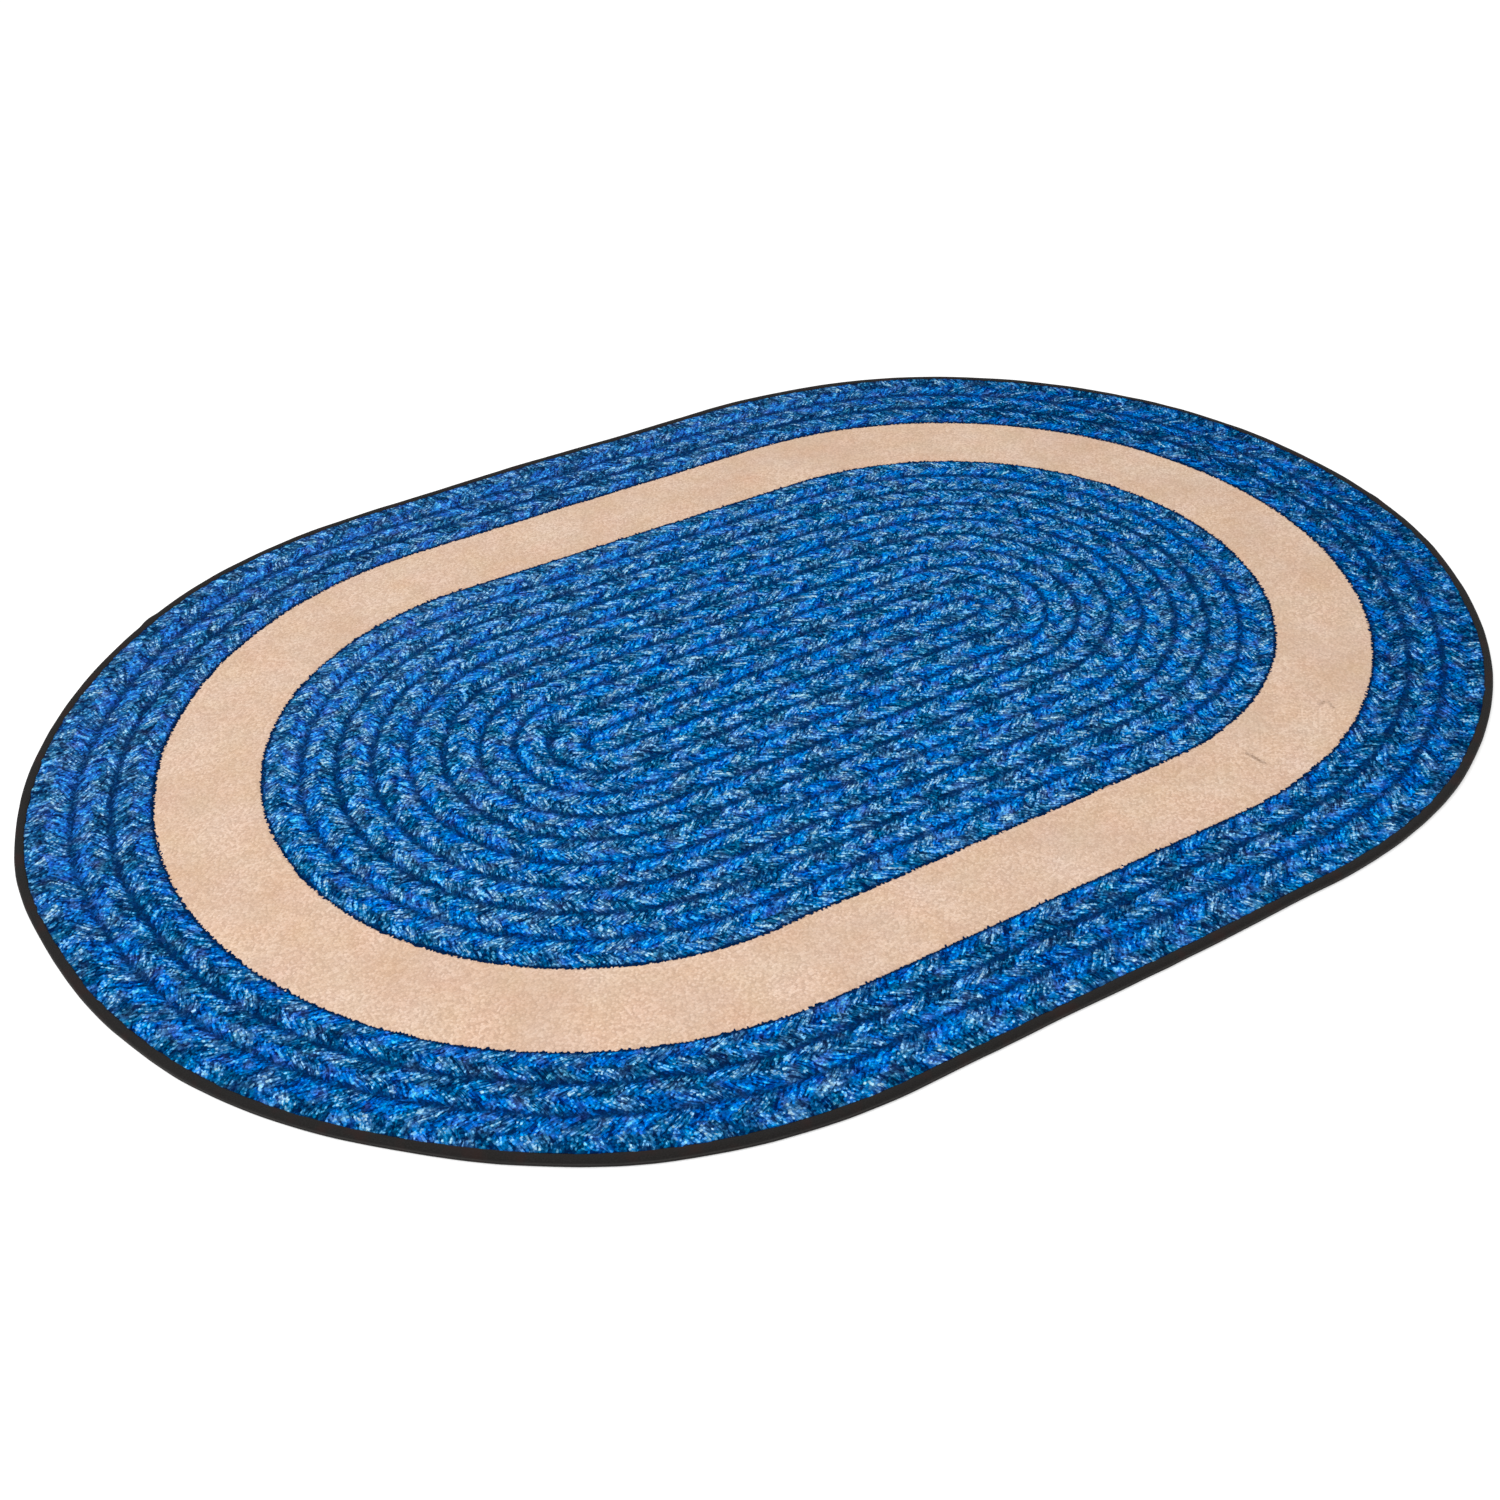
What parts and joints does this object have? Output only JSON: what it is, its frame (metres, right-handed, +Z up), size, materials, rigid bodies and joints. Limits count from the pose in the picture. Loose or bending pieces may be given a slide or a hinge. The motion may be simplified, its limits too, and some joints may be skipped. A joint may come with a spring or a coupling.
{
  "type": "oval classroom rug",
  "caption": "Flat oval cut-pile rug with concentric braid-pattern rows, a plain inner band and a dark bound edge.",
  "frame": {"origin": "middle of the underside, on the floor", "axes": "+X along the rug's length, +Z up out of the pile"},
  "size_m": [1.636, 1.1618, 0.009],
  "materials": {
    "braid_pile": "cut pile, heathered blues",
    "band_pile": "cut pile, plain tan",
    "backing": "woven backing cloth",
    "binding_tape": "matt woven tape, near black"
  },
  "bodies": {
    "root": {"carpet": "braid_pile", "edge_binding": "binding_tape"}
  },
  "joints": []
}
